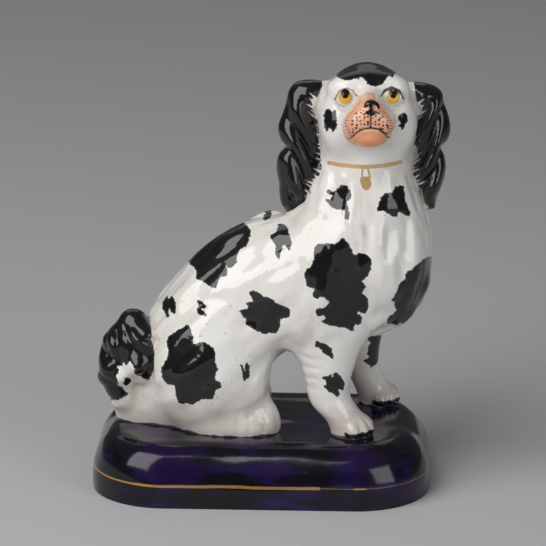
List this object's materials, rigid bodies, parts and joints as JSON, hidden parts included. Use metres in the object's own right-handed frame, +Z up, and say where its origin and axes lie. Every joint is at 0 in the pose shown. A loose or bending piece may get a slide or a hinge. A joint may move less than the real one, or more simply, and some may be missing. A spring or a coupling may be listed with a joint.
{
  "type": "ceramic dog figurine",
  "caption": "Seated glazed earthenware spaniel with hanging ears and a curled tail on a rounded cobalt cushion base, head turned to one side.",
  "frame": {"origin": "centre of the flat underside of the base, on the surface that the figurine stands on", "axes": "+Z up; +X the way the dog's body faces along the base's length; the head is turned to look along -Y"},
  "size_m": [0.1605, 0.098, 0.1936],
  "materials": {
    "white_glaze": "glossy warm-white glaze with black painted patches, a painted face and a gilt collar",
    "black_glaze": "glossy black enamel over moulded curls",
    "cobalt_glaze": "very glossy blue-black glaze with one thin worn gilt line",
    "bare_clay": "unglazed matt biscuit underside"
  },
  "bodies": {
    "root": {"base_cushion": "cobalt_glaze", "base_slab": "bare_clay", "body_right_half": "white_glaze", "body_left_half": "white_glaze", "head_front_half": "white_glaze", "head_back_half": "white_glaze", "ear_right": "black_glaze", "ear_left": "black_glaze", "foreleg_right": "white_glaze", "foreleg_left": "white_glaze", "hind_leg_right": "white_glaze", "hind_leg_left": "white_glaze", "tail": "black_glaze"}
  },
  "joints": []
}
